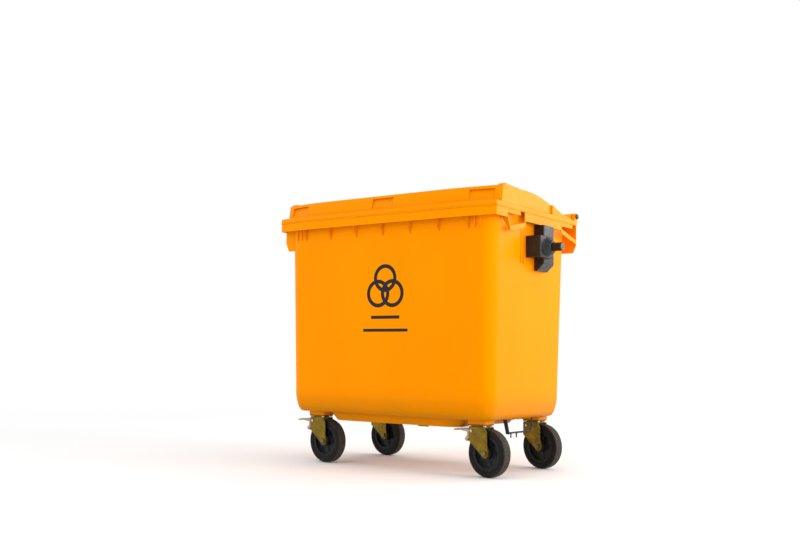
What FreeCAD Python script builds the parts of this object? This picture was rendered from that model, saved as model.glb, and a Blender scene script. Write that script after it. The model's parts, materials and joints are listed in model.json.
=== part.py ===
"""Four-wheeled clinical-waste container of about 660 litres, with a hinged lid, two lifting
trunnions and four swivel castors.

Frame: millimetres, +Z up, the front faces -Y, +X is the right-hand end seen from the front.
The origin is on the floor, under the centre of the whole container's box.
Left and right pieces mirror each other in the plane X = 0.
"""
import FreeCAD, Part
import math
import os

V = FreeCAD.Vector
AXIS_X, AXIS_Y, AXIS_Z = V(1, 0, 0), V(0, 1, 0), V(0, 0, 1)

# ---------------------------------------------------------------- container
WALL = 5.0                 # moulded wall thickness
BASE_Z = 237.0             # underside of the floor, beside the belly
CURVE_Z = 330.0            # where the walls start to curve in towards the floor
CURVE_INSET = 32.0         # how far that curve runs in
RIM_Z = 1125.0             # top of the rim
MOUTH_HALF_X = 564.0       # outer wall at the rim
MOUTH_FRONT_Y = -362.0
MOUTH_REAR_Y = 322.0
WALL_CORNER_R = 62.0
DRAFT = 0.024              # how much the walls lean in, per millimetre of height

BELLY_Z = 200.0            # underside of the hollow belly between the castors
BELLY_Y = -24.0            # middle of the belly
BELLY_HALF_X = 340.0
BELLY_HALF_Y = 250.0
BELLY_SLOPE = 34.0

# ---------------------------------------------------------------- rim
RIM_HALF_X = 597.0
RIM_FRONT_Y = -400.0
RIM_REAR_Y = 364.0
RIM_BOW_X = 380.0          # the front edge is straight up to here
RIM_BOW_DROP = 17.0        # and then curves back this far to the corner
RIM_CORNER_R = 16.0
RIM_LEDGE = 2.5            # the flat rim stands this far proud of the skirt
SKIRT_Z = 1082.0           # lower edge of the rim's skirt
STRIP_Z = 1101.0           # lower edge where a hand hole cuts into the skirt
GUSSET_PITCH = 150.0
GUSSET_TIP_Z = 1031.0
GUSSET_T = 5.0

# ---------------------------------------------------------------- hand loops
# each loop: Y at the corner and at the far end, the bar's lower edge at both, lean of the end plate
LOOP_FRONT = (-264.0, -134.0, 1027.0, 1056.0, 0.42)
LOOP_FRONT_LEFT = (-346.0, -190.0, 1031.0, 1068.0, 0.0)
LOOP_REAR = (359.0, 200.0, 1031.0, 1068.0, 0.0)
LOOP_BAR = 20.0                 # height of the bar
LOOP_NOTCH = 38.0               # the skirt over each hole stops this far short of the hole's rear end
LOOP_PLATE_Z = 992.0            # lower edge of the plate that ties an upright loop to the wall
LOOP_WEB_Z = 1086.0             # where a leaning loop's end plate meets the wall
LOOP_WEB_X = (515.0, 520.0)     # web between the rear end plate and the rear wall

# ---------------------------------------------------------------- trunnions
TRUNNION_Y = -10.0
TRUNNION_Z = 980.0
PIN_R = 19.0
PIN_SHANK_R = 15.5         # the pin inside the bracket, and its relief groove beside the cone
PIN_TIP_X = 708.0
PAD_X = 566.0              # flat pad on the wall
PAD_INNER_X = 552.5
BAR_Y = (-5.0, 92.0)      # the bracket's upright
BAR_Z = (880.0, 1081.0)
BAR_FACE_X = 614.0
BLOCK_Y = (-80.0, 40.0)    # the bracket's cross block
BLOCK_Z = (933.0, 1028.0)
BLOCK_FACE_X = 638.0
CONE_R = (46.0, 27.0)
CONE_TIP_X = 664.0
PIN_SHOULDER_X = 666.0
BACKPLATE_T = 5.0
TRUNNION_BOLT_R = 5.0
TRUNNION_BOLTS = [(y, z) for y in (21.0, 66.0) for z in (909.0, 1055.0)]

# ---------------------------------------------------------------- lid
LID_GAP = 0.5              # the closed lid's clearance over the rim
LIP_TOP_Z = 1144.0
LIP_INSET = 2.0
LID_WALL = 4.0
DOME_HALF_X = 592.0
DOME_BOW_X = 300.0
DOME_BOW_DROP = 40.0
DOME_FRONT_Y = (-374.0, -359.0)     # at the lip, and at DOME_TOP_Z
DOME_REAR_Y = 340.0
DOME_TOP_Z = 1245.0
DOME_PROFILE = [(-420, 1206), (-363, 1211), (-300, 1214), (-237, 1216.5), (-163, 1219), (-100, 1219.5),
                (-42, 1218), (32, 1208.5), (109, 1191), (174, 1171), (214, 1160), (269, 1152),
                (329, 1147.5), (390, 1145)]
PANEL_Y = (-192.0, 121.0)           # the sloped side panel between the end blocks
PANEL_X = (583.0, 579.0)            # at the lip, and at DOME_TOP_Z
RIDGE = ((-318.0, -200.0), (560.0, 592.0), 1223.0)
POCKET_HALF_X = 57.0
POCKET_Z = (1156.0, 1199.0)
POCKET_DEPTH = (4.0, 18.0)          # at the lower and the upper edge
POCKET_PITCH = 506.0

# ---------------------------------------------------------------- lid hinges
HINGE_Y = 384.0
HINGE_Z = 1168.0
HINGE_BOSS_R = 16.0
HINGE_PIN_R = 8.0
HINGE_RUN = 0.09           # radial clearance of a running fit
LUG_X = [(460.0, 477.0), (565.0, 582.0)]
KNUCKLE_X = (480.0, 562.0)

# ---------------------------------------------------------------- castors
KINGPIN_X = 441.0
KINGPIN_Y = 237.0
TRAIL = 46.0
YAW = {"fl": -5.0, "fr": -9.0, "rl": -5.0, "rr": -12.0}   # the way that each wheel trails, from +X
WHEEL_R = 100.0
TYRE_HALF_W = 23.0
TYRE_BORE_R = 70.0
PAD_HALF = (46.0, 40.0)
CASTOR_PAD_Z = 219.0
PLATE_HALF = (44.0, 38.0)
PLATE_T = 5.0
PLATE_BOLTS = (35.0, 29.0)
PLATE_BOLT_R = 4.0
CROWN_Z = 203.5
CROWN_T = 4.0
CROWN_HALF_U = 42.0
LEG_V = (26.5, 30.5)       # inner and outer face of a fork leg
LEG_RIB_T = 3.0
AXLE_R = 6.0
SPACER_R = 9.95
BEARING_R = 17.0
BALL_R = 2.9
BALL_TRACK_R = 29.0
BALLS = 16

# ---------------------------------------------------------------- brakes
PIVOT_U, PIVOT_Z, PIVOT_R = -29.0, 190.0, 4.0
BRAKE_SWING = 12.0         # the pedal's travel down to the tyre
SHOE_ANGLE = (139.0, 156.0) # about the axle, with the brake pressed
SHOE_R = (100.6, 111.5)
SHOE_HALF_W = 20.0
CHEEK_T = 4.0
PEDAL_TIP_U = -134.0

# ---------------------------------------------------------------- drain and bar
DRAIN_Y = BELLY_Y
DRAIN_HOLE_R = 30.0
DRAIN_FLANGE_R = 42.0
BAR_X = 480.0              # the bent bar under the right-hand end
BAR_R = 4.0
BAR_LOW_Z = 174.0
STRAP_Y = (-105.0, -80.0)


# ================================================================ helpers
def box(x, y, z):
    """A block between two X, two Y and two Z values."""
    return Part.makeBox(abs(x[1] - x[0]), abs(y[1] - y[0]), abs(z[1] - z[0]),
                        V(min(x), min(y), min(z)))


def cylinder(r, start, length, axis):
    return Part.makeCylinder(r, length, start, axis)


def prism(points, axis, start, end):
    """A flat outline pulled along one axis. Points are (y, z) for X, (x, z) for Y, (x, y) for Z."""
    place = {"x": lambda a, b: V(start, a, b),
             "y": lambda a, b: V(a, start, b),
             "z": lambda a, b: V(a, b, start)}[axis]
    face = Part.Face(Part.makePolygon([place(a, b) for a, b in points + points[:1]]))
    direction = {"x": AXIS_X, "y": AXIS_Y, "z": AXIS_Z}[axis]
    return face.extrude(direction * (end - start))


def fuse(shapes):
    first, rest = shapes[0], shapes[1:]
    return first.multiFuse(rest).removeSplitter() if rest else first


def cut(shape, tools):
    return shape.cut(Part.makeCompound(tools))


def mirrored(shape):
    """The same piece on the other side of the plane X = 0."""
    return shape.mirror(V(0, 0, 0), AXIS_X)


def both_sides(shape):
    return [shape, mirrored(shape)]


def rounded_box(x, y, z, r, axis):
    """A block whose edges along one axis are rounded."""
    block = box(x, y, z)
    along = {"x": 0, "y": 1, "z": 2}[axis]
    edges = [e for e in block.Edges if abs((e.Vertexes[1].Point - e.Vertexes[0].Point)[along]) > 1e-6]
    return block.makeFillet(r, edges)


def hexagon_prism(r, centre, length, axis):
    """A hex bolt head or nut whose corners lie on radius r."""
    side = AXIS_Z if abs(axis.z) < 0.5 else AXIS_X
    other = axis.cross(side)
    corners = [centre + side * (r * math.cos(k * math.pi / 3)) + other * (r * math.sin(k * math.pi / 3))
               for k in range(6)]
    return Part.Face(Part.makePolygon(corners + corners[:1])).extrude(axis * length)


def bowed_outline(half_x, front_y, rear_y, bow_x, drop, rear_r, z):
    """The rim's outline at height z: a front edge that curves back to two sharp corners."""
    r = ((half_x - bow_x) ** 2 + drop ** 2) / (2 * drop)
    half_turn = math.asin((half_x - bow_x) / r) / 2
    mid_x = bow_x + r * math.sin(half_turn)
    mid_y = front_y + r * (1 - math.cos(half_turn))
    k = rear_r * (1 - math.sqrt(0.5))
    corner_y = front_y + drop
    edges = [
        Part.Arc(V(-half_x, corner_y, z), V(-mid_x, mid_y, z), V(-bow_x, front_y, z)).toShape(),
        Part.makeLine(V(-bow_x, front_y, z), V(bow_x, front_y, z)),
        Part.Arc(V(bow_x, front_y, z), V(mid_x, mid_y, z), V(half_x, corner_y, z)).toShape(),
        Part.makeLine(V(half_x, corner_y, z), V(half_x, rear_y - rear_r, z)),
        Part.Arc(V(half_x, rear_y - rear_r, z), V(half_x - k, rear_y - k, z),
                 V(half_x - rear_r, rear_y, z)).toShape(),
        Part.makeLine(V(half_x - rear_r, rear_y, z), V(-half_x + rear_r, rear_y, z)),
        Part.Arc(V(-half_x + rear_r, rear_y, z), V(-half_x + k, rear_y - k, z),
                 V(-half_x, rear_y - rear_r, z)).toShape(),
        Part.makeLine(V(-half_x, rear_y - rear_r, z), V(-half_x, corner_y, z)),
    ]
    return Part.Wire(edges)


def rounded_outline(half_x, front_y, rear_y, r, z):
    """A rectangle with round corners at height z."""
    k = r * (1 - math.sqrt(0.5))
    corners = [(half_x, front_y, 1, -1), (half_x, rear_y, 1, 1),
               (-half_x, rear_y, -1, 1), (-half_x, front_y, -1, -1)]
    edges, previous = [], None
    first = V(-half_x + r, front_y, z)
    previous = first
    for index, (x, y, sx, sy) in enumerate(corners):
        along_first = index % 2 == 0
        start = V(x - sx * r, y, z) if along_first else V(x, y - sy * r, z)
        end = V(x, y - sy * r, z) if along_first else V(x - sx * r, y, z)
        edges.append(Part.makeLine(previous, start))
        edges.append(Part.Arc(start, V(x - sx * k, y - sy * k, z), end).toShape())
        previous = end
    return Part.Wire(edges)


def slab(wire, height):
    return Part.Face(wire).extrude(AXIS_Z * height)


# ================================================================ container
def wall_outline(z, inset):
    """The wall's outline at height z, moved in by inset."""
    lean = (RIM_Z - z) * DRAFT + inset
    corner = max(WALL_CORNER_R - inset, 12.0)
    return rounded_outline(MOUTH_HALF_X - lean, MOUTH_FRONT_Y + lean, MOUTH_REAR_Y - lean, corner, z)


def tub(inset, floor_z):
    """The solid inside the walls moved in by inset, down to floor_z, with its curved lower edge."""
    upper = Part.makeLoft([wall_outline(CURVE_Z, inset), wall_outline(RIM_Z, inset)], True, True)
    rings = []
    for step in range(5):
        turn = step / 4 * math.pi / 2
        z = CURVE_Z - (CURVE_Z - floor_z) * math.sin(turn)
        rings.append(wall_outline(z, inset + CURVE_INSET * (1 - math.cos(turn))))
    return upper.fuse(Part.makeLoft(rings, True, False))


def belly(inset):
    """The hollow belly under the floor, moved in by inset."""
    rings = []
    for z, grow in ((BELLY_Z + inset, 0.0), (BASE_Z + WALL + 1.0, BELLY_SLOPE)):
        rings.append(rounded_outline(BELLY_HALF_X + grow - inset, BELLY_Y - BELLY_HALF_Y - grow / 2 + inset,
                                     BELLY_Y + BELLY_HALF_Y + grow / 2 - inset, 60.0 - inset, z))
    return Part.makeLoft(rings, True, True)


def rim_ring(inset, z, height):
    return slab(bowed_outline(RIM_HALF_X - inset, RIM_FRONT_Y + inset, RIM_REAR_Y - inset,
                              RIM_BOW_X, RIM_BOW_DROP, RIM_CORNER_R - inset, z), height)


def skirt_windows(corner_y, far_y, low_z, high_z, lean):
    """Where a hand hole reaches up into the right side's skirt, and at its rear end up to the flat rim."""
    x = (RIM_HALF_X - 3 * WALL, RIM_HALF_X + 1)
    front, rear = sorted((corner_y, far_y))
    start = front + WALL - lean * (STRIP_Z - low_z)
    return [box(x, (start, rear - WALL), (SKIRT_Z - 1, STRIP_Z)),
            box(x, (rear - WALL - LOOP_NOTCH, rear - WALL), (SKIRT_Z - 1, RIM_Z - WALL))]


def rim():
    """Flat rim round the mouth with a skirt hanging just inside its edge."""
    flat = rim_ring(0, RIM_Z - WALL, WALL)
    skirt = rim_ring(RIM_LEDGE, SKIRT_Z, RIM_Z - WALL - SKIRT_Z)
    skirt = skirt.cut(rim_ring(RIM_LEDGE + WALL, SKIRT_Z - 1, RIM_Z))
    windows = skirt_windows(*LOOP_FRONT) + skirt_windows(*LOOP_REAR)
    windows += [mirrored(w) for w in skirt_windows(*LOOP_FRONT_LEFT) + skirt_windows(*LOOP_REAR)]
    return [flat, cut(skirt, windows)]


def hand_loop(corner_y, far_y, low_z, high_z, lean):
    """A grip loop on the right side: an end plate near the corner and a bar that rises away from it."""
    inward = 1 if far_y > corner_y else -1
    outer, top = RIM_HALF_X - RIM_LEDGE, RIM_Z - WALL
    rear_y = max(corner_y, far_y) - WALL

    def plate_y(z):
        return corner_y - inward * lean * (z - low_z)

    bar_top = low_z + LOOP_BAR
    far_in = far_y - inward * WALL
    strip = prism([(plate_y(top), top), (plate_y(low_z), low_z), (far_y, high_z), (far_y, top)],
                  "x", outer - WALL, outer)
    hole = prism([(plate_y(STRIP_Z) + inward * WALL, STRIP_Z), (plate_y(bar_top) + inward * WALL, bar_top),
                  (far_in, high_z + LOOP_BAR), (far_in, STRIP_Z)], "x", outer - WALL - 1, outer + 1)
    notch = box((outer - WALL - 1, outer + 1), (rear_y - LOOP_NOTCH, rear_y), (SKIRT_Z, top))
    wall_x = LOOP_WEB_X[0] if inward < 0 else MOUTH_HALF_X - 34.0
    leaning = prism([(plate_y(top), top), (plate_y(LOOP_PLATE_Z), LOOP_PLATE_Z),
                     (plate_y(LOOP_PLATE_Z) + inward * WALL, LOOP_PLATE_Z),
                     (plate_y(top) + inward * WALL, top)], "x", wall_x, outer)
    outline = [(wall_x, top), (outer, top), (outer, low_z)]
    if lean:
        outline += [(outer - WALL, low_z), (MOUTH_HALF_X, LOOP_WEB_Z), (wall_x, LOOP_WEB_Z)]
    else:
        outline += [(outer - 18, LOOP_PLATE_Z), (wall_x, LOOP_PLATE_Z)]
    plate = leaning.common(prism(outline, "y", corner_y - 90, corner_y + 90))
    pieces = [cut(strip, [hole, notch]), plate]
    if inward < 0:
        pieces.append(box(LOOP_WEB_X, (MOUTH_REAR_Y - 8, corner_y), (LOOP_PLATE_Z, top)))
    return pieces


def gusset(x, rear):
    """A triangular stiffener between the wall and the rim's skirt."""
    wall_y = MOUTH_REAR_Y - 3 if rear else MOUTH_FRONT_Y + 3
    edge_y = RIM_REAR_Y - RIM_LEDGE - 2 if rear else RIM_FRONT_Y + RIM_LEDGE + 2
    return prism([(wall_y, GUSSET_TIP_Z), (edge_y, SKIRT_Z + 12), (edge_y, RIM_Z - 2), (wall_y, RIM_Z - 2)],
                 "x", x - GUSSET_T / 2, x + GUSSET_T / 2)


def hinge_lug(x):
    """A plate behind the rim that carries the lid's pin."""
    y, z = RIM_REAR_Y, RIM_Z
    plate = prism([(y - 8, SKIRT_Z + 8), (y, SKIRT_Z + 1), (y + 14, SKIRT_Z + 13),
                   (HINGE_Y + 15, HINGE_Z - 6), (HINGE_Y, HINGE_Z + HINGE_BOSS_R),
                   (HINGE_Y - 15, HINGE_Z + 6), (y + 1, z + 26), (y, z + 1), (y - 8, z - 2)], "x", x[0], x[1])
    boss = cylinder(HINGE_BOSS_R, V(x[0], HINGE_Y, HINGE_Z), x[1] - x[0], AXIS_X)
    hole = cylinder(HINGE_PIN_R + HINGE_RUN / 2, V(x[0] - 1, HINGE_Y, HINGE_Z), x[1] - x[0] + 2, AXIS_X)
    return plate.fuse(boss).cut(hole)


def castor_pad(x, y):
    px, py = PAD_HALF
    return rounded_box((x - px, x + px), (y - py, y + py), (CASTOR_PAD_Z, BASE_Z + WALL), 10, "z")


def plate_bolt_places(x, y):
    bx, by = PLATE_BOLTS
    return [(x + sx * bx, y + sy * by) for sx in (-1, 1) for sy in (-1, 1)]


def side_ribs():
    """Faint upright ribs on the side walls and beside the front corners."""
    ribs = []
    for y in (-114.0, -91.0):
        wall_x = MOUTH_HALF_X - (RIM_Z - 980) * DRAFT
        ribs.append(box((wall_x - 4, wall_x + 3.5), (y - 4, y + 4), (905, 1050)))
    for x in (480.0, 505.0):
        wall_y = MOUTH_FRONT_Y + (RIM_Z - 1060) * DRAFT
        ribs.append(box((x - 3, x + 3), (wall_y - 7, wall_y + 4), (1040, RIM_Z - WALL)))
    return [r for rib in ribs for r in both_sides(rib)]


def container_rim():
    """Everything round the mouth that stands off the walls: rim, skirt, hand loops, gussets and hinge lugs."""
    outline = rim_ring(0, LOOP_PLATE_Z - 1, RIM_Z - LOOP_PLATE_Z + 1)
    pieces = rim()
    pieces += [piece.common(outline) for piece in hand_loop(*LOOP_FRONT) + hand_loop(*LOOP_REAR)]
    pieces += [mirrored(piece.common(outline)) for piece in hand_loop(*LOOP_FRONT_LEFT) + hand_loop(*LOOP_REAR)]
    for k in range(-3, 4):
        pieces += [gusset(k * GUSSET_PITCH, False), gusset(k * GUSSET_PITCH, True)]
    for x in LUG_X:
        pieces += both_sides(hinge_lug(x))
    return fuse(pieces).cut(tub(0, BASE_Z))


def container_body():
    """The tub: walls, floor, hollow belly, castor pads and the flats that carry the trunnions."""
    outer = [tub(0, BASE_Z), belly(0)]
    for x, y in castor_places().values():
        outer.append(castor_pad(x, y))
    for y, z in ((BAR_Y, BAR_Z), (BLOCK_Y, BLOCK_Z)):
        outer += both_sides(box((PAD_INNER_X, PAD_X), y, z))
    outer += side_ribs()
    solid = fuse(outer)

    inner_pads = both_sides(box((PAD_INNER_X, PAD_X), (BAR_Y[0] - 8, BAR_Y[1] + 5),
                                (BAR_Z[0] - 6, BAR_Z[1] + 4)))
    hollow = fuse([tub(WALL, BASE_Z + WALL), belly(WALL)])
    hollow = cut(hollow, inner_pads)
    mouth = slab(wall_outline(RIM_Z, WALL), 10)
    tools = [hollow, mouth, cylinder(DRAIN_HOLE_R, V(0, DRAIN_Y, BELLY_Z - 5), 20, AXIS_Z)]
    for y, z in TRUNNION_BOLTS:
        tools += both_sides(cylinder(TRUNNION_BOLT_R + HINGE_RUN, V(PAD_INNER_X - 5, y, z), 20, AXIS_X))
    for x, y in castor_places().values():
        tools.append(cylinder(16, V(x, y, CASTOR_PAD_Z - 1), 9, AXIS_Z))
        for bx, by in plate_bolt_places(x, y):
            tools.append(cylinder(PLATE_BOLT_R + HINGE_RUN / 2, V(bx, by, CASTOR_PAD_Z - 1), 18, AXIS_Z))
    return cut(solid, tools)


# ================================================================ trunnions
def trunnion_bracket():
    """The cross-shaped bracket on the right-hand wall: an upright, a deeper block and a cone."""
    upright = prism([(PAD_X, BAR_Z[0]), (PAD_X, BAR_Z[1]), (BAR_FACE_X, BAR_Z[1]),
                     (BAR_FACE_X, BAR_Z[0] + 32), (PAD_X + 14, BAR_Z[0])], "y", *BAR_Y)
    upright = upright.makeFillet(5, [e for e in upright.Edges if is_along(e, AXIS_Z) and e.BoundBox.XMin > PAD_X + 5])
    block = box((PAD_X, BLOCK_FACE_X), BLOCK_Y, BLOCK_Z)
    block = block.makeFillet(6, [e for e in block.Edges if e.BoundBox.XMax > PAD_X + 5])
    cone = Part.makeCone(CONE_R[0], CONE_R[1], CONE_TIP_X - BLOCK_FACE_X, V(BLOCK_FACE_X, TRUNNION_Y, TRUNNION_Z), AXIS_X)
    root = cylinder(CONE_R[0], V(BLOCK_FACE_X - 15, TRUNNION_Y, TRUNNION_Z), 15, AXIS_X)
    tools = [cylinder(PIN_SHANK_R, V(PAD_X + 20, TRUNNION_Y, TRUNNION_Z), 120, AXIS_X)]
    for y, z in TRUNNION_BOLTS:
        tools.append(cylinder(TRUNNION_BOLT_R + HINGE_RUN / 2, V(PAD_X - 1, y, z), 28, AXIS_X))
    return cut(fuse([upright, block, root, cone]), tools)


def is_along(edge, axis):
    a, b = edge.Vertexes[0].Point, edge.Vertexes[-1].Point
    step = b - a
    return step.Length > 1e-6 and abs(abs(step.dot(axis)) - step.Length) < 1e-6


def trunnion_pin():
    """A pin with a thinner shank in the bracket; its shoulder stands a little clear of the cone."""
    nose = cylinder(PIN_R, V(PIN_SHOULDER_X, TRUNNION_Y, TRUNNION_Z), PIN_TIP_X - PIN_SHOULDER_X, AXIS_X)
    nose = nose.makeChamfer(3, [e for e in nose.Edges if e.BoundBox.XMin > PIN_TIP_X - 1])
    start = PAD_X + 20
    return nose.fuse(cylinder(PIN_SHANK_R, V(start, TRUNNION_Y, TRUNNION_Z), PIN_SHOULDER_X - start, AXIS_X))


def trunnion_backplate():
    plate = rounded_box((PAD_INNER_X - BACKPLATE_T, PAD_INNER_X), (BAR_Y[0] + 3, BAR_Y[1] - 3),
                        (BAR_Z[0] + 4, BAR_Z[1] - 4), 10, "x")
    holes = [cylinder(TRUNNION_BOLT_R + HINGE_RUN, V(PAD_INNER_X - 10, y, z), 20, AXIS_X) for y, z in TRUNNION_BOLTS]
    return cut(plate, holes)


def trunnion_bolts():
    head_x = PAD_INNER_X - BACKPLATE_T
    bolts = []
    for y, z in TRUNNION_BOLTS:
        head = hexagon_prism(9.5, V(head_x - 7, y, z), 7, AXIS_X)
        shank = cylinder(TRUNNION_BOLT_R, V(head_x, y, z), PAD_X + 24 - head_x, AXIS_X)
        bolts.append(head.fuse(shank))
    return Part.makeCompound(bolts)


# ================================================================ lid
def dome(inset, lower):
    """The lid's raised part, moved in by inset: straight sides under a barrel-shaped top."""
    base_z = RIM_Z if inset else LIP_TOP_Z - 2
    sides = []
    for z, front in ((base_z, DOME_FRONT_Y[0]), (DOME_TOP_Z, DOME_FRONT_Y[1])):
        sides.append(bowed_outline(DOME_HALF_X - inset, front + inset, DOME_REAR_Y - inset,
                                   DOME_BOW_X, DOME_BOW_DROP, 40.0 - inset, z))
    block = Part.makeLoft(sides, True, True)
    top = Part.BSplineCurve()
    top.interpolate([V(-620, y, z - lower) for y, z in DOME_PROFILE])
    first, last = DOME_PROFILE[0], DOME_PROFILE[-1]
    ends = [V(-620, last[0], last[1] - lower), V(-620, last[0], RIM_Z - 20),
            V(-620, first[0], RIM_Z - 20), V(-620, first[0], first[1] - lower)]
    barrel = Part.Face(Part.Wire([top.toShape()] + Part.makePolygon(ends).Edges)).extrude(AXIS_X * 1240)
    panel = prism([(PANEL_X[0] - inset, LIP_TOP_Z), (620, LIP_TOP_Z), (620, DOME_TOP_Z + 30),
                   (PANEL_X[1] - inset, DOME_TOP_Z + 30)],
                  "y", PANEL_Y[0] - inset, PANEL_Y[1] + inset)
    return cut(block.common(barrel), both_sides(panel))


def pocket(inset):
    """A finger pocket in the lid's front face, as a solid at the middle of the lid."""
    face_y = DOME_FRONT_Y[0] + 2
    return prism([(face_y - 60, POCKET_Z[0] - inset), (face_y + POCKET_DEPTH[0] + inset, POCKET_Z[0] - inset),
                  (face_y + POCKET_DEPTH[1] + inset, POCKET_Z[1] + inset), (face_y - 60, POCKET_Z[1] + inset)],
                 "x", -POCKET_HALF_X - inset, POCKET_HALF_X + inset)


def pockets(inset):
    """Three pockets: one in the middle and one near each end, where the face curves back."""
    r = ((DOME_HALF_X - DOME_BOW_X) ** 2 + DOME_BOW_DROP ** 2) / (2 * DOME_BOW_DROP)
    turn = math.asin((POCKET_PITCH - DOME_BOW_X) / r)
    side = pocket(inset)
    side.rotate(V(0, DOME_FRONT_Y[0], 0), AXIS_Z, math.degrees(turn))
    side.translate(V(POCKET_PITCH, r * (1 - math.cos(turn)), 0))
    return [pocket(inset)] + both_sides(side)


def lid():
    lip_z = RIM_Z + LID_GAP
    lip = slab(bowed_outline(RIM_HALF_X - LIP_INSET, RIM_FRONT_Y + LIP_INSET, RIM_REAR_Y - 2 * LIP_INSET,
                             RIM_BOW_X, RIM_BOW_DROP, RIM_CORNER_R, lip_z), LIP_TOP_Z - lip_z)
    lip = lip.makeFillet(4, [e for e in lip.Edges if e.BoundBox.ZMin > LIP_TOP_Z - 1])
    shell = cut(fuse([lip, dome(0, 0)]), pockets(0))
    hollow = cut(dome(LID_WALL, LID_WALL), pockets(LID_WALL))
    (ridge_y0, ridge_y1), ridge_x, ridge_top = RIDGE
    ridge = prism([(ridge_y0, ridge_top - 14), (ridge_y0 + 12, ridge_top), (ridge_y1, ridge_top - 7),
                   (ridge_y1, ridge_top - 14)], "x", *ridge_x)
    y, z = HINGE_Y, HINGE_Z
    arm = prism([(y - 64, RIM_Z + 4), (y - 24, RIM_Z + 4), (y + 11, z - 11), (y, z + 15),
                 (y - 28, z + 10), (y - 64, z - 12)], "x", *KNUCKLE_X)
    barrel = cylinder(HINGE_BOSS_R, V(KNUCKLE_X[0], HINGE_Y, HINGE_Z), KNUCKLE_X[1] - KNUCKLE_X[0], AXIS_X)
    bore = cylinder(HINGE_PIN_R + HINGE_RUN, V(KNUCKLE_X[0] - 1, HINGE_Y, HINGE_Z), 90, AXIS_X)
    body = fuse([shell.cut(hollow)] + both_sides(ridge) + both_sides(arm) + both_sides(barrel))
    return cut(body, both_sides(bore))


def hinge_pin():
    """A pin through both lugs and the lid's knuckle, with a round head at the outer end."""
    start, end = LUG_X[0][0] - 4, LUG_X[1][1]
    pin = cylinder(HINGE_PIN_R, V(start, HINGE_Y, HINGE_Z), end - start, AXIS_X)
    head = cylinder(12, V(end, HINGE_Y, HINGE_Z), 8, AXIS_X)
    head = head.makeFillet(3, [e for e in head.Edges if e.BoundBox.XMin > end + 7])
    return pin.fuse(head)


# ================================================================ castors
def castor_places():
    """The kingpin's X and Y of each castor: front or rear, left or right."""
    return {"fl": (-KINGPIN_X, -KINGPIN_Y), "fr": (KINGPIN_X, -KINGPIN_Y),
            "rl": (-KINGPIN_X, KINGPIN_Y), "rr": (KINGPIN_X, KINGPIN_Y)}


def set_down(shape, corner):
    """Moves a castor piece from its own frame, U along the trail and V along the axle, to its kingpin."""
    place = castor_places()[corner]
    moved = shape.copy()
    moved.rotate(V(0, 0, 0), AXIS_Z, YAW[corner])
    moved.translate(V(place[0], place[1], 0))
    return moved


def castor_plate(place):
    """Mounting plate with its upper ball race; it lies square to the container."""
    x, y = place
    top = CASTOR_PAD_Z
    px, py = PLATE_HALF
    plate = rounded_box((x - px, x + px), (y - py, y + py), (top - PLATE_T, top), 9, "z")
    skirt = cylinder(36.5, V(x, y, top - PLATE_T - 5), 5, AXIS_Z).cut(
        cylinder(33, V(x, y, top - PLATE_T - 6), 7, AXIS_Z))
    holes = [cylinder(AXLE_R + HINGE_RUN, V(x, y, top - 10), 20, AXIS_Z)]
    holes += [cylinder(PLATE_BOLT_R + HINGE_RUN, V(bx, by, top - 10), 20, AXIS_Z)
              for bx, by in plate_bolt_places(x, y)]
    return cut(plate.fuse(skirt), holes)


def castor_bolts(place):
    bolts = []
    for x, y in plate_bolt_places(*place):
        low = CASTOR_PAD_Z - PLATE_T
        head = hexagon_prism(7.5, V(x, y, low - 5.3), 5.3, AXIS_Z)
        bolts.append(head.fuse(cylinder(PLATE_BOLT_R, V(x, y, low), 20, AXIS_Z)))
    return Part.makeCompound(bolts)


def kingpin(place):
    """Headed pin through the plate and the fork's crown, riveted underneath."""
    x, y = place
    low = CROWN_Z - 3.8
    shank = cylinder(AXLE_R, V(x, y, low), CASTOR_PAD_Z + 6 - low, AXIS_Z)
    head = cylinder(12, V(x, y, CASTOR_PAD_Z + 0.1), 6, AXIS_Z)
    rivet = cylinder(10, V(x, y, low), 3.5, AXIS_Z)
    return shank.fuse([head, rivet])


def swivel_balls(place):
    x, y = place
    z = CROWN_Z + CROWN_T + BALL_R + 0.2
    ring = []
    for k in range(BALLS):
        turn = 2 * math.pi * k / BALLS
        ring.append(Part.makeSphere(BALL_R, V(x + BALL_TRACK_R * math.cos(turn), y + BALL_TRACK_R * math.sin(turn), z)))
    return Part.makeCompound(ring)


def leg_face(v):
    """A fork leg's outline in the plane V = v: wide at the crown, round at the axle."""
    top, r = CROWN_Z + CROWN_T, 19.0
    half = CROWN_HALF_U
    left = tangent_point((-half, 148.0), (TRAIL, WHEEL_R), r, 1)
    right = tangent_point((half + 2, top), (TRAIL, WHEEL_R), r, -1)
    corner = [V(-half, v, top), V(-half, v, 148.0), V(left[0], v, left[1])]
    edges = Part.makePolygon(corner).Edges
    edges.append(Part.Arc(corner[-1], V(TRAIL - 4, v, WHEEL_R - math.sqrt(r * r - 16)), V(right[0], v, right[1])).toShape())
    edges += Part.makePolygon([V(right[0], v, right[1]), V(half + 2, v, top), V(-half, v, top)]).Edges
    return Part.Face(Part.Wire(edges))


def tangent_point(point, centre, r, side):
    """Where a straight line from point touches the circle."""
    dx, dz = point[0] - centre[0], point[1] - centre[1]
    distance = math.hypot(dx, dz)
    angle = math.atan2(dz, dx) + side * math.acos(r / distance)
    return centre[0] + r * math.cos(angle), centre[1] + r * math.sin(angle)


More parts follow.
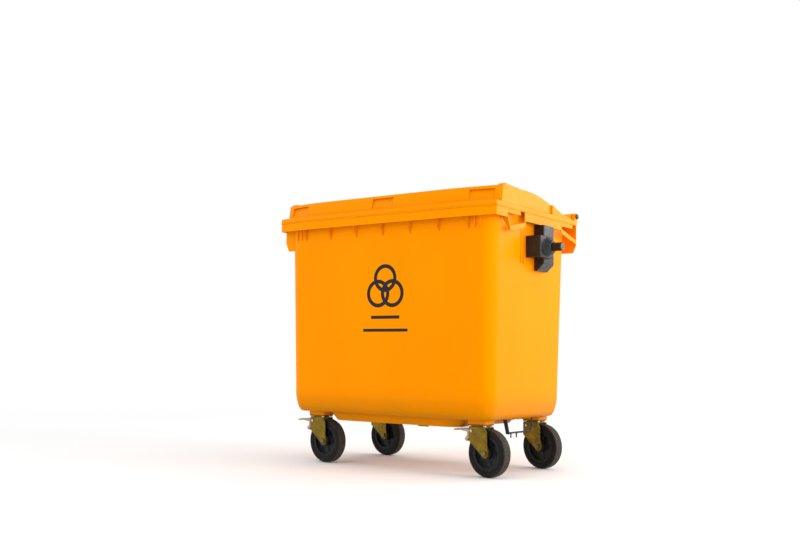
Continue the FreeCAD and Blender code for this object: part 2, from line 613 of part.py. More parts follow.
def fork():
    """Pressed fork: a crown, two tapering legs and an outer rib down each leg to the axle."""
    thickness = LEG_V[1] - LEG_V[0]
    pieces = [box((-CROWN_HALF_U, CROWN_HALF_U + 2), (-LEG_V[1], LEG_V[1]), (CROWN_Z, CROWN_Z + CROWN_T))]
    for side in (-1, 1):
        pieces.append(leg_face(side * LEG_V[0]).extrude(AXIS_Y * (side * thickness)))
        start = side * LEG_V[1]
        rib = prism([(TRAIL - 15, WHEEL_R), (TRAIL - 19, 185), (TRAIL - 12, 197), (TRAIL + 6, 197),
                     (TRAIL + 13, 185), (TRAIL + 15, WHEEL_R)], "y", start, start + side * LEG_RIB_T)
        foot = cylinder(15, V(TRAIL, start, WHEEL_R), LEG_RIB_T, AXIS_Y * side)
        pieces += [rib, foot]
    race = cylinder(25, V(0, 0, CROWN_Z + CROWN_T), 4.5, AXIS_Z)
    holes = [cylinder(AXLE_R + HINGE_RUN, V(0, 0, CROWN_Z - 2), 20, AXIS_Z),
             cylinder(AXLE_R + HINGE_RUN, V(TRAIL, -60, WHEEL_R), 120, AXIS_Y),
             cylinder(PIVOT_R + HINGE_RUN, V(PIVOT_U, -60, PIVOT_Z), 120, AXIS_Y)]
    return cut(fuse(pieces + [race]), holes)


def axle_bolt():
    """Bolt, nut and the spacer tube that the wheel turns on."""
    face = LEG_V[1] + LEG_RIB_T
    head = hexagon_prism(11, V(TRAIL, -face - 7.5, WHEEL_R), 7.5, AXIS_Y)
    shank = cylinder(AXLE_R, V(TRAIL, -face, WHEEL_R), 2 * face + 13, AXIS_Y)
    nut = hexagon_prism(11, V(TRAIL, face, WHEEL_R), 10, AXIS_Y)
    nut = nut.cut(cylinder(AXLE_R + HINGE_RUN, V(TRAIL, face - 1, WHEEL_R), 12, AXIS_Y))
    reach = LEG_V[0] - HINGE_RUN
    tube = cylinder(SPACER_R, V(TRAIL, -reach, WHEEL_R), 2 * reach, AXIS_Y)
    tube = tube.cut(cylinder(AXLE_R + HINGE_RUN, V(TRAIL, -40, WHEEL_R), 80, AXIS_Y))
    return Part.makeCompound([head.fuse(shank), nut, tube])


def tyre():
    """Solid tyre: a crowned tread, round shoulders and a stepped side wall."""
    w, r = TYRE_HALF_W, WHEEL_R
    shoulder = 8.0
    points = [V(0, -w + 3, TYRE_BORE_R), V(0, -w + 3, 76), V(0, -w, 79), V(0, -w, r - shoulder - 1)]
    edges = Part.makePolygon(points).Edges
    edges.append(Part.Arc(V(0, -w, r - shoulder - 1), V(0, -w + 2.2, r - 3.6), V(0, -w + shoulder, r - 1)).toShape())
    edges.append(Part.Arc(V(0, -w + shoulder, r - 1), V(0, 0, r), V(0, w - shoulder, r - 1)).toShape())
    edges.append(Part.Arc(V(0, w - shoulder, r - 1), V(0, w - 2.2, r - 3.6), V(0, w, r - shoulder - 1)).toShape())
    edges += Part.makePolygon([V(0, w, r - shoulder - 1), V(0, w, 79), V(0, w - 3, 76), V(0, w - 3, TYRE_BORE_R),
                               V(0, -w + 3, TYRE_BORE_R)]).Edges
    ring = Part.Face(Part.Wire(edges)).revolve(V(0, 0, 0), AXIS_Y, 360)
    ring.translate(V(TRAIL, 0, WHEEL_R))
    return ring


def wheel_hub():
    """Moulded wheel centre: a seat for the tyre, a disc with six recesses each side and a bearing boss."""
    rim_w = TYRE_HALF_W - 3
    seat = cylinder(TYRE_BORE_R - 0.02, V(0, -rim_w, 0), 2 * rim_w, AXIS_Y)
    dish = cylinder(61, V(0, -rim_w - 1, 0), rim_w - 5, AXIS_Y)
    other = cylinder(61, V(0, 6, 0), rim_w, AXIS_Y)
    boss = cylinder(25, V(0, -24.5, 0), 49, AXIS_Y)
    recesses = []
    for k in range(6):
        for side in (-1, 1):
            recess = prism([(8, 31), (14, 53), (-14, 53), (-8, 31)], "y", side * 2, side * 10)
            recess.rotate(V(0, 0, 0), AXIS_Y, 60 * k + 30)
            recesses.append(recess)
    hub = fuse([cut(seat, [dish, other]), boss])
    hub = cut(hub, recesses + [cylinder(BEARING_R + 0.02, V(0, -30, 0), 60, AXIS_Y)])
    hub.translate(V(TRAIL, 0, WHEEL_R))
    return hub


def wheel_bearing():
    """Roller-bearing cartridge pressed into the hub."""
    ring = cylinder(BEARING_R, V(TRAIL, -25, WHEEL_R), 50, AXIS_Y)
    return ring.cut(cylinder(SPACER_R + HINGE_RUN / 2, V(TRAIL, -30, WHEEL_R), 60, AXIS_Y))


# ================================================================ brakes
def tyre_band(r, angles, v):
    """A piece concentric with the tyre, between two radii, two angles and two V values."""
    start, end = (math.radians(a) for a in angles)
    middle = (start + end) / 2

    def at(radius, angle):
        return V(TRAIL + radius * math.cos(angle), v[0], WHEEL_R + radius * math.sin(angle))

    inner, outer = r
    edges = [Part.Arc(at(inner, start), at(inner, middle), at(inner, end)).toShape(),
             Part.makeLine(at(inner, end), at(outer, end)),
             Part.Arc(at(outer, end), at(outer, middle), at(outer, start)).toShape(),
             Part.makeLine(at(outer, start), at(inner, start))]
    return Part.Face(Part.Wire(edges)).extrude(AXIS_Y * (v[1] - v[0]))


def released(shape):
    """Turns a piece drawn with the brake pressed back to where it rests."""
    shape.rotate(V(PIVOT_U, 0, PIVOT_Z), AXIS_Y, BRAKE_SWING)
    return shape


def brake_pedal():
    """Foot lever: two cheeks with hooks, a tread outside the wheel and a web behind the shoe."""
    shape = [(8, -6), (8, 6), (-55, 7), (-63, -2), (-29, -6), (-29, -23), (-5, -18)]
    cheek = [(PIVOT_U + u, PIVOT_Z + z) for u, z in shape]
    inner, outer = SHOE_HALF_W, SHOE_HALF_W + CHEEK_T
    pieces = []
    for side in (-1, 1):
        pieces.append(prism(cheek, "y", side * inner, side * outer))
        pieces.append(cylinder(8, V(PIVOT_U, side * inner, PIVOT_Z), CHEEK_T, AXIS_Y * side))
        pieces.append(released(tyre_band((103.5, 118.0), (136.0, 158.0), sorted((side * inner, side * outer)))))
    pieces.append(released(tyre_band((SHOE_R[1] + 0.2, 116.0), (139.0, 158.0), (-inner - 1, inner + 1))))
    pieces.append(prism([(PIVOT_U - 51, 197), (PEDAL_TIP_U + 6, 194), (PEDAL_TIP_U, 190), (PEDAL_TIP_U + 3, 186),
                         (PIVOT_U - 59, 189)], "y", -outer, outer))
    lever = fuse(pieces)
    return lever.cut(cylinder(PIVOT_R + HINGE_RUN, V(PIVOT_U, -60, PIVOT_Z), 120, AXIS_Y))


def brake_shoe():
    """Block that presses on the tread, curved to the tyre."""
    return released(tyre_band(SHOE_R, SHOE_ANGLE, (-SHOE_HALF_W, SHOE_HALF_W)))


def brake_pivot():
    pin = cylinder(PIVOT_R, V(PIVOT_U, -LEG_V[1] - 3, PIVOT_Z), 2 * LEG_V[1] + 6, AXIS_Y)
    ends = [cylinder(6.5, V(PIVOT_U, side * (LEG_V[1] + 0.1), PIVOT_Z), 3, AXIS_Y * side) for side in (-1, 1)]
    return pin.fuse(ends)


# ================================================================ drain, bar and mark
def drain_plug():
    """Quarter-turn plug in the belly: a flange with a grip bar below and a hollow barrel above."""
    flange = cylinder(DRAIN_FLANGE_R, V(0, DRAIN_Y, BELLY_Z - 9), 6, AXIS_Z)
    barrel = cylinder(DRAIN_HOLE_R - HINGE_RUN, V(0, DRAIN_Y, BELLY_Z - 9), 22, AXIS_Z)
    core = cylinder(DRAIN_HOLE_R - 5, V(0, DRAIN_Y, BELLY_Z + 1), 14, AXIS_Z)
    grip = rounded_box((-28, 28), (DRAIN_Y - 5, DRAIN_Y + 5), (BELLY_Z - 24, BELLY_Z - 8), 3, "z")
    return fuse([flange, barrel, grip]).cut(core)


def drain_seal():
    outer = cylinder(DRAIN_FLANGE_R - 3, V(0, DRAIN_Y, BELLY_Z - 2.9), 2.8, AXIS_Z)
    return outer.cut(cylinder(DRAIN_HOLE_R, V(0, DRAIN_Y, BELLY_Z - 4), 6, AXIS_Z))


def foot_bar():
    """Round bar bent down under the right-hand end, with two pegs welded to it."""
    low, top = BAR_LOW_Z, BASE_Z - 3.5
    start_y, end_y, bend = STRAP_Y[1] - 6, 134.0, 26.0
    k = bend * (1 - math.sqrt(0.5))
    path = Part.Wire([
        Part.makeLine(V(BAR_X, start_y, low), V(BAR_X, end_y - bend, low)),
        Part.Arc(V(BAR_X, end_y - bend, low), V(BAR_X, end_y - k, low + k), V(BAR_X, end_y, low + bend)).toShape(),
        Part.makeLine(V(BAR_X, end_y, low + bend), V(BAR_X, end_y, top)),
    ])
    profile = Part.Wire(Part.makeCircle(BAR_R, V(BAR_X, start_y, low), AXIS_Y))
    bar = path.makePipeShell([profile], True, False)
    pegs = [cylinder(3, V(BAR_X, y, low - 22), 22, AXIS_Z) for y in (-53.0, -4.0)]
    foot = box((BAR_X - 14, BAR_X + 14), (end_y - 12, end_y + 14), (BASE_Z - 4, BASE_Z - 0.1))
    return fuse([bar, foot] + pegs)


def bar_strap():
    """Flat strap that carries the bar's front end."""
    y0, y1 = STRAP_Y
    drop = [(y0 - 30, BASE_Z - 0.1), (y0 + 4, BASE_Z - 0.1), (y1 + 4, BAR_LOW_Z - 5), (y1 - 2, BAR_LOW_Z - 5),
            (y0 - 2, BASE_Z - 4), (y0 - 30, BASE_Z - 4)]
    strap = prism(drop, "x", BAR_X - 8, BAR_X + 8)
    return strap.cut(cylinder(BAR_R + HINGE_RUN, V(BAR_X, y0 - 40, BAR_LOW_Z), 120, AXIS_Y))


def disc(x, z, r, thickness):
    return cylinder(r, V(x, 0, z), thickness, AXIS_Y * -1)


def front_mark():
    """Printed mark of three overlapping plain rings over two plain bars, as a film on the front wall."""
    film = 0.4
    reach, ring_r, ring_inner_r = 45.0, 62.0, 45.0
    rings = []
    for k in range(3):
        turn = math.radians(90 + 120 * k)
        x, z = reach * math.cos(turn), reach * math.sin(turn)
        rings.append(disc(x, z, ring_r, film).cut(disc(x, z, ring_inner_r, film)))
    rings.append(disc(0, 0, 10, film))
    bars = [box((-78, 78), (-film, 0), (-135, -121)), box((-122, 122), (-film, 0), (-192, -179))]
    mark = Part.makeCompound(fuse(rings).Solids + bars)
    mark.rotate(V(0, 0, 0), AXIS_X, math.degrees(math.atan(DRAFT)))
    centre_z = 797.0
    wall_y = MOUTH_FRONT_Y + (RIM_Z - centre_z) * DRAFT
    mark.translate(V(11.5, wall_y - 0.05, centre_z))
    return mark


# ================================================================ all nodes
def nodes():
    made = {"container_body": container_body(), "container_rim": container_rim(), "lid": lid(),
            "drain_plug": drain_plug(), "drain_seal": drain_seal(),
            "foot_bar": foot_bar(), "bar_strap": bar_strap(), "front_mark": front_mark()}
    for name, shape in (("trunnion_bracket", trunnion_bracket()), ("trunnion_pin", trunnion_pin()),
                        ("trunnion_backplate", trunnion_backplate()), ("trunnion_bolts", trunnion_bolts()),
                        ("hinge_pin", hinge_pin())):
        made[name + "_right"], made[name + "_left"] = shape, mirrored(shape)
    turning = {"fork": fork(), "axle_bolt": axle_bolt(), "tyre": tyre(), "wheel_hub": wheel_hub(),
               "wheel_bearing": wheel_bearing()}
    braked = {"brake_pedal": brake_pedal(), "brake_shoe": brake_shoe(), "brake_pivot": brake_pivot()}
    for corner, place in castor_places().items():
        made["castor_plate_" + corner] = castor_plate(place)
        made["castor_bolts_" + corner] = castor_bolts(place)
        made["kingpin_" + corner] = kingpin(place)
        made["swivel_balls_" + corner] = swivel_balls(place)
        for name, shape in turning.items():
            made[name + "_" + corner] = set_down(shape, corner)
        if corner.startswith("f"):
            for name, shape in braked.items():
                made[name + "_" + corner] = set_down(shape, corner)
    return made


os.makedirs("parts", exist_ok=True)
for node, solid in nodes().items():
    print(f"{node:24s} valid {solid.isValid()} solids {len(solid.Solids)} volume {solid.Volume / 1000:.1f} cm3")
    solid.exportStep("parts/" + node + ".step")
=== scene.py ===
"""Looks for the four-wheeled clinical-waste container: materials, moulded and pressed detail,
light, floor and camera. Metres, +Z up, the front faces -Y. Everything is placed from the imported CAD."""

import json
import math

import bmesh
import bpy
from mathutils import Matrix, Vector


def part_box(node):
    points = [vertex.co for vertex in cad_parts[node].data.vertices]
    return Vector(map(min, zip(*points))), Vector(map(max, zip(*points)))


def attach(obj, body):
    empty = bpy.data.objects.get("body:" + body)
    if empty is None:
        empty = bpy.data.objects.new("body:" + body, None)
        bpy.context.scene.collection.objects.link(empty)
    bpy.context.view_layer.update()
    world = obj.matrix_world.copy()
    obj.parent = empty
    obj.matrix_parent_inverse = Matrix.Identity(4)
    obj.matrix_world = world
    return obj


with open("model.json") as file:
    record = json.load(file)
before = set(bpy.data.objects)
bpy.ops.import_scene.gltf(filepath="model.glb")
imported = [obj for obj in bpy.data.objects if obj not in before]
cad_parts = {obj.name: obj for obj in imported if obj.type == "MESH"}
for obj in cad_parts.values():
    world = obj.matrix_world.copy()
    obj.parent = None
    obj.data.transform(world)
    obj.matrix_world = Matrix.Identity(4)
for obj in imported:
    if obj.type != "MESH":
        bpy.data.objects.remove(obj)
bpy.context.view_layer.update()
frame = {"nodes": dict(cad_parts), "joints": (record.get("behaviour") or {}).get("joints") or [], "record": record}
NODES = frame["nodes"]
JOINTS = {j["name"]: j for j in frame["joints"]}
SCENE = bpy.context.scene
WHITE = 1.0                                  # strength of the studio's white surroundings
CORNERS = ("fl", "fr", "rl", "rr")
SIDES = (("right", 1), ("left", -1))


# ---------------------------------------------------------------- camera, light, floor
CAMERA_PLACE = (2.6036, -3.8098, 0.4882)
CAMERA_TURN = (36.018, 5.376, 0.850)         # degrees of yaw to the left, pitch up, and roll
CAMERA_LENS = 43.973                         # focal length on a sensor 36 wide, both in millimetres
CAMERA_SENSOR = 36


def place_camera():
    """Stands to the right of the front, at knee height, looking slightly up."""
    yaw, pitch, roll = (math.radians(a) for a in CAMERA_TURN)
    ahead = Vector((-math.sin(yaw) * math.cos(pitch), math.cos(yaw) * math.cos(pitch), math.sin(pitch)))
    level = Vector((math.cos(yaw), math.sin(yaw), 0))
    above = level.cross(ahead)
    right = math.cos(roll) * level + math.sin(roll) * above
    up = math.cos(roll) * above - math.sin(roll) * level
    data = bpy.data.cameras.new("camera")
    data.sensor_width = CAMERA_SENSOR
    data.lens = CAMERA_LENS
    camera = bpy.data.objects.new("camera", data)
    SCENE.collection.objects.link(camera)
    turn = Matrix((right, up, -ahead)).transposed().to_4x4()
    camera.matrix_world = Matrix.Translation(CAMERA_PLACE) @ turn
    SCENE.camera = camera


def softbox(name, place, aim, size, watts):
    """A white rectangular light at place, facing aim."""
    data = bpy.data.lights.new(name, "AREA")
    data.shape = "RECTANGLE"
    data.size, data.size_y = size
    data.energy = watts
    light = bpy.data.objects.new(name, data)
    SCENE.collection.objects.link(light)
    light.location = place
    light.rotation_euler = (Vector(aim) - Vector(place)).to_track_quat("-Z", "Y").to_euler()


def light_scene():
    """White surroundings with a key light from the right, a rim light behind it and a weak front light."""
    world = bpy.data.worlds.new("studio")
    world.use_nodes = True
    background = world.node_tree.nodes["Background"]
    background.inputs["Color"].default_value = (1, 1, 1, 1)
    background.inputs["Strength"].default_value = WHITE
    SCENE.world = world
    softbox("key_right", (4.2, 0.4, 1.6), (0.5, 0, 0.7), (2.2, 1.8), 78)
    softbox("rim_right", (2.7, 3.7, 2.1), (0.6, 0, 1.1), (1.5, 0.9), 32)
    softbox("key_front", (-0.6, -4.6, 2.6), (0, 0, 0.6), (2.6, 2.2), 22)
    SCENE.view_settings.view_transform = "Standard"


def add_floor():
    build = bmesh.new()
    bmesh.ops.create_grid(build, x_segments=8, y_segments=8, size=30)
    floor = finish_mesh(build, "floor", None, floor_material())
    floor.location.z = -0.0005


# ---------------------------------------------------------------- material graphs
class Graph:
    """A material's node graph with short names for the nodes used here."""

    def __init__(self, name):
        self.material = bpy.data.materials.new(name)
        self.material.use_nodes = True
        self.tree = self.material.node_tree
        self.shader = self.tree.nodes["Principled BSDF"]

    def give(self, socket, value):
        if isinstance(value, bpy.types.NodeSocket):
            self.tree.links.new(value, socket)
        elif isinstance(value, (tuple, list)) and len(value) == 3 and socket.type == "RGBA":
            socket.default_value = (*value, 1)
        else:
            socket.default_value = value

    def node(self, kind, inputs=(), **settings):
        made = self.tree.nodes.new(kind)
        for key, value in settings.items():
            setattr(made, key, value)
        for key, value in dict(inputs).items():
            self.give(made.inputs[key], value)
        return made

    def coords(self, stretch=(1, 1, 1)):
        place = self.node("ShaderNodeTexCoord").outputs["Object"]
        if stretch == (1, 1, 1):
            return place
        return self.node("ShaderNodeMapping", {"Vector": place, "Scale": stretch}).outputs["Vector"]

    def noise(self, scale, detail=3.0, rough=0.5, stretch=(1, 1, 1)):
        texture = self.node("ShaderNodeTexNoise", {"Vector": self.coords(stretch), "Scale": scale,
                                                   "Detail": detail, "Roughness": rough})
        return texture.outputs["Fac"]

    def span(self, value, low, high, to_low=0.0, to_high=1.0):
        made = self.node("ShaderNodeMapRange", {"Value": value, "From Min": low, "From Max": high,
                                                "To Min": to_low, "To Max": to_high},
                         interpolation_type="SMOOTHSTEP")
        return made.outputs["Result"]

    def math(self, operation, a, b=0.0):
        made = self.node("ShaderNodeMath", operation=operation)
        self.give(made.inputs[0], a)
        self.give(made.inputs[1], b)
        return made.outputs["Value"]

    def mix(self, share, a, b):
        made = self.node("ShaderNodeMix", data_type="RGBA")
        self.give(made.inputs["Factor"], share)
        self.give(made.inputs[6], a)
        self.give(made.inputs[7], b)
        return made.outputs[2]

    def soft_edges(self, radius):
        return self.node("ShaderNodeBevel", {"Radius": radius}, samples=4).outputs["Normal"]

    def edges(self, soft, flat, bent):
        """1 where the softened normal leaves the surface's own, 0 on flat ground."""
        own = self.node("ShaderNodeNewGeometry").outputs["Normal"]
        dot = self.node("ShaderNodeVectorMath", {0: soft, 1: own}, operation="DOT_PRODUCT").outputs["Value"]
        return self.span(dot, flat, bent)

    def bump(self, height, strength, distance, under=None):
        made = self.node("ShaderNodeBump", {"Height": height, "Strength": strength, "Distance": distance})
        if under is not None:
            self.give(made.inputs["Normal"], under)
        return made.outputs["Normal"]

    def axes(self):
        """The object's own X, Y and Z as separate values."""
        split = self.node("ShaderNodeSeparateXYZ", {"Vector": self.coords()})
        return split.outputs

    def shade(self, **inputs):
        names = {"colour": "Base Color", "metal": "Metallic", "rough": "Roughness", "normal": "Normal",
                 "gloss": "Specular IOR Level", "tint": "Specular Tint"}
        for key, value in inputs.items():
            self.give(self.shader.inputs[names[key]], value)
        return self.material


def floor_material():
    """Pale studio floor that fades into the background's white."""
    g = Graph("studio_floor")
    patches = g.span(g.noise(0.6, 2), 0.3, 0.7)
    reach = g.node("ShaderNodeVectorMath", {0: g.coords()}, operation="LENGTH").outputs["Value"]
    far = g.span(reach, 1.6, 6.0)
    tone = g.mix(far, g.mix(patches, (0.93, 0.93, 0.93), (0.95, 0.95, 0.95)), (0, 0, 0))
    g.give(g.shader.inputs["Emission Color"], (1, 1, 1))
    g.give(g.shader.inputs["Emission Strength"], g.math("MULTIPLY", far, WHITE))
    return g.shade(colour=tone, rough=0.9, gloss=0.0, normal=g.bump(g.noise(300), 0.05, 0.0005))


def moulded_plastic(name, colour, shade, edge=0.0022, grain=1.0):
    """Coloured moulded polyethylene: flow marks, fine grain, rubbed edges, scuffs, dust low down, painted shade
    darkening towards the bottom and painted shade on faces that point downwards.
    """
    g = Graph(name)
    flow = g.span(g.noise(2.2, 3, 0.5, (1, 1, 0.45)), 0.30, 0.72)
    tone = g.mix(g.math("MULTIPLY", flow, 0.5), colour, shade)
    scuff = g.span(g.noise(34, 6, 0.62, (1, 1, 0.16)), 0.66, 0.76)
    scratch = g.span(g.noise(150, 2, 0.5, (1, 1, 0.035)), 0.70, 0.76)
    worn = g.math("MULTIPLY", g.math("MAXIMUM", scuff, scratch), 0.07)
    soft = g.soft_edges(edge)
    handled = g.span(g.noise(40, 4, 0.6), 0.38, 0.62, 0.10, 0.42)
    rubbed = g.math("MULTIPLY", g.edges(soft, 0.97, 0.80), handled)
    tone = g.mix(g.math("MAXIMUM", worn, rubbed), tone, (1.0, 0.47, 0.06))
    low = g.span(g.axes()["Z"], 0.38, 0.20)
    # painted shade: the colour darkens towards the bottom of the piece
    foot = g.math("MULTIPLY", g.span(g.axes()["Z"], 0.38, 0.24), 0.50)
    tone = g.mix(foot, tone, (0.66, 0.19, 0.0))
    dust = g.math("MULTIPLY", g.math("MULTIPLY", low, g.span(g.noise(11, 5), 0.42, 0.70)), 0.18)
    tone = g.mix(dust, tone, (0.42, 0.20, 0.03))
    # painted shade: faces that point downwards are darkened, in noise patches
    facing = g.node("ShaderNodeSeparateXYZ", {"Vector": g.node("ShaderNodeNewGeometry").outputs["Normal"]})
    patches = g.span(g.noise(5, 3), 0.2, 0.8, 0.60, 0.85)
    under = g.math("MULTIPLY", g.span(facing.outputs["Z"], -0.04, -0.55), patches)
    tone = g.mix(under, tone, (0.52, 0.19, 0.0))
    rough = g.math("ADD", g.span(g.noise(18, 4), 0.25, 0.75, 0.30, 0.40), g.math("MULTIPLY", worn, 1.2))
    normal = g.bump(g.noise(520, 2), 0.14 * grain, 0.0006, soft)
    normal = g.bump(g.noise(7, 2), 0.08, 0.004, normal)
    return g.shade(colour=tone, rough=rough, gloss=0.07, tint=(1.0, 0.45, 0.0), normal=normal)


def dark_casting(name, rub=0.25, shine=0.38):
    """Black glass-filled plastic with a mineral grain, greyed along its edges and where it is rubbed."""
    g = Graph(name)
    soft = g.soft_edges(0.0035)
    rubbed = g.math("MULTIPLY", g.span(g.noise(30, 5, 0.6), 0.52, 0.72), rub)
    worn = g.math("MULTIPLY", g.edges(soft, 0.97, 0.82), g.span(g.noise(60, 4), 0.4, 0.6, 0.25, 0.9))
    tone = g.mix(g.math("MAXIMUM", rubbed, worn), (0.006, 0.0065, 0.008), (0.050, 0.054, 0.062))
    normal = g.bump(g.noise(900, 2), 0.35, 0.0004, soft)
    rough = g.span(g.noise(40, 3), 0.3, 0.7, 0.26, 0.44)
    return g.shade(colour=tone, rough=rough, gloss=shine, normal=normal)


def plated_steel(name, bright, tarnish, metal=0.85, rough=(0.28, 0.48), edge=0.0008, brushed=(1, 1, 1)):
    """Zinc-plated steel: cloudy passivation, fine brushing, bright rubbed edges and specks of tarnish."""
    g = Graph(name)
    cloud = g.span(g.noise(26, 5, 0.6), 0.35, 0.65)
    speck = g.math("MULTIPLY", g.span(g.noise(260, 3), 0.62, 0.72), 0.5)
    tone = g.mix(g.math("MAXIMUM", g.math("MULTIPLY", cloud, 0.55), speck), bright, tarnish)
    soft = g.soft_edges(edge)
    polished = tuple(min(c * 1.7 + 0.05, 1) for c in bright)
    tone = g.mix(g.math("MULTIPLY", g.edges(soft, 0.97, 0.80), 0.35), tone, polished)
    normal = g.bump(g.noise(340, 3, 0.5, brushed), 0.12, 0.0003, soft)
    return g.shade(colour=tone, metal=metal, rough=g.span(g.noise(60, 3), 0.3, 0.7, *rough), normal=normal)


def trunnion_steel(name):
    """Greased, browned steel whose end face has been rubbed bright by the lifting hooks."""
    g = Graph(name)
    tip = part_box("trunnion_pin_right")[1].x
    out = g.math("ABSOLUTE", g.axes()["X"])
    bare = g.span(out, tip - 0.0022, tip - 0.0006)
    rust = g.span(g.noise(90, 5, 0.65), 0.40, 0.70)
    rings = g.span(g.noise(60, 3, 0.5, (9, 1, 1)), 0.5, 0.75)
    dark = g.mix(g.math("MULTIPLY", rust, 0.7), (0.012, 0.006, 0.002), (0.030, 0.014, 0.005))
    dark = g.mix(g.math("MULTIPLY", rings, 0.30), dark, (0.07, 0.055, 0.035))
    tone = g.mix(bare, dark, (0.15, 0.13, 0.09))
    metal = g.span(bare, 0, 1, 0.15, 0.6)
    rough = g.span(rust, 0, 1, 0.42, 0.68)
    normal = g.bump(g.noise(400, 3), 0.2, 0.0003, g.soft_edges(0.001))
    return g.shade(colour=tone, metal=metal, rough=rough, gloss=0.3, normal=normal)


def black_paint(name):
    """Black stove paint, chipped here and there to brown metal."""
    g = Graph(name)
    chips = g.span(g.noise(120, 5, 0.6), 0.66, 0.70)
    tone = g.mix(chips, (0.010, 0.0095, 0.009), (0.15, 0.11, 0.07))
    return g.shade(colour=tone, metal=g.math("MULTIPLY", chips, 0.6), rough=0.42,
                   normal=g.bump(g.noise(300, 2), 0.2, 0.0004, g.soft_edges(0.001)))


def rubber(name, dust=0.25):
    """Matt black rubber with dust in its low spots."""
    g = Graph(name)
    dusty = g.math("MULTIPLY", g.span(g.noise(45, 5), 0.4, 0.7), dust)
    tone = g.mix(dusty, (0.010, 0.009, 0.008), (0.10, 0.085, 0.06))
    return g.shade(colour=tone, rough=0.72, gloss=0.25, normal=g.bump(g.noise(700, 2), 0.3, 0.0005))


def tyre_rubber(corner):
    """Black rubber whose running surface is scrubbed grey; measured outwards from the wheel's own axle."""
    g = Graph("tyre_" + corner)
    joint = JOINTS["wheel_spin_" + corner]
    arm = g.node("ShaderNodeVectorMath", {0: g.coords(), 1: tuple(joint["pos_m"])}, operation="SUBTRACT")
    along = g.node("ShaderNodeVectorMath", {0: arm.outputs["Vector"], 1: tuple(joint["axis"])},
                   operation="DOT_PRODUCT").outputs["Value"]
    reach = g.node("ShaderNodeVectorMath", {0: arm.outputs["Vector"]}, operation="LENGTH").outputs["Value"]
    square = g.math("SUBTRACT", g.math("MULTIPLY", reach, reach), g.math("MULTIPLY", along, along))
    radius = g.math("SQRT", square)
    tread = g.span(radius, 0.0955, 0.0985)
    grit = g.span(g.noise(160, 5, 0.65), 0.30, 0.62)
    scrubbed = g.mix(grit, (0.016, 0.014, 0.010), (0.070, 0.060, 0.045))
    wall = g.mix(g.span(g.noise(50, 5, 0.6), 0.45, 0.75), (0.004, 0.0036, 0.0025), (0.015, 0.012, 0.007))
    tone = g.mix(g.math("MULTIPLY", tread, 0.9), wall, scrubbed)
    pits = g.bump(g.noise(520, 3), 0.35, 0.0006)
    return g.shade(colour=tone, rough=g.span(tread, 0, 1, 0.50, 0.75), gloss=0.22, normal=pits)


def printed_ink(name):
    """Black ink, thinned in specks where it is worn."""
    g = Graph(name)
    worn = g.math("MULTIPLY", g.span(g.noise(260, 4), 0.60, 0.72), 0.25)
    return g.shade(colour=g.mix(worn, (0.004, 0.004, 0.004), (0.10, 0.04, 0.006)), rough=0.42, gloss=0.3,
                   normal=g.bump(g.noise(500, 2), 0.1, 0.0004))


# ---------------------------------------------------------------- mesh building
def finish_mesh(build, name, body, material, smooth=None):
    """Turns a bmesh into a piece that rides a body; smooth is the angle in degrees that stays sharp."""
    mesh = bpy.data.meshes.new(name)
    bmesh.ops.recalc_face_normals(build, faces=build.faces)
    build.to_mesh(mesh)
    build.free()
    piece = bpy.data.objects.new(name, mesh)
    SCENE.collection.objects.link(piece)
    mesh.materials.append(material)
    if smooth is not None:
        mesh.polygons.foreach_set("use_smooth", [True] * len(mesh.polygons))
        mesh.set_sharp_from_angle(angle=math.radians(smooth))
    if body:
        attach(piece, body)
    return piece


def axis_frame(point, axis):
    """A matrix whose Z lies along the axis, with its origin on the point."""
    along = Vector(axis).normalized()
    side = along.orthogonal().normalized()
    turn = Matrix((side, along.cross(side), along)).transposed().to_4x4()
    return Matrix.Translation(Vector(point)) @ turn


def add_lathe(build, profile, point, axis, segments=64, closed=True):
    """Turns a profile of (radius, distance along the axis) round the axis."""
    place = axis_frame(point, axis)
    rings = []
    for k in range(segments):
        turn = 2 * math.pi * k / segments
        rings.append([build.verts.new(place @ Vector((r * math.cos(turn), r * math.sin(turn), a)))
                      for r, a in profile])
    count = len(profile)
    for k in range(segments):
        ring, following = rings[k], rings[(k + 1) % segments]
        for i in range(count if closed else count - 1):
            j = (i + 1) % count
            build.faces.new((ring[i], ring[j], following[j], following[i]))


def add_block(build, low, high, place=Matrix.Identity(4), taper=0.0):
    """A block from low to high, drawn in at its top by taper."""
    (x0, y0, z0), (x1, y1, z1) = low, high
    base = [(x0, y0, z0), (x1, y0, z0), (x1, y1, z0), (x0, y1, z0)]
    top = [(x0 + taper, y0 + taper, z1), (x1 - taper, y0 + taper, z1),
           (x1 - taper, y1 - taper, z1), (x0 + taper, y1 - taper, z1)]
    v = [build.verts.new(place @ Vector(p)) for p in base + top]
    for face in ((0, 3, 2, 1), (4, 5, 6, 7), (0, 1, 5, 4), (1, 2, 6, 5), (2, 3, 7, 6), (3, 0, 4, 7)):
        build.faces.new([v[i] for i in face])


def add_bead(name, runs, radius, body, material):
    """Round beads along runs of points, as curves turned to mesh."""
    data = bpy.data.curves.new(name, "CURVE")
    data.dimensions = "3D"
    data.bevel_depth = radius
    data.bevel_resolution = 3
    data.use_fill_caps = True
    for points in runs:
        spline = data.splines.new("POLY")
        spline.points.add(len(points) - 1)
        for target, point in zip(spline.points, points):
            target.co = (*point, 1)
    data.materials.append(material)
    piece = bpy.data.objects.new(name, data)
    SCENE.collection.objects.link(piece)
    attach(piece, body)


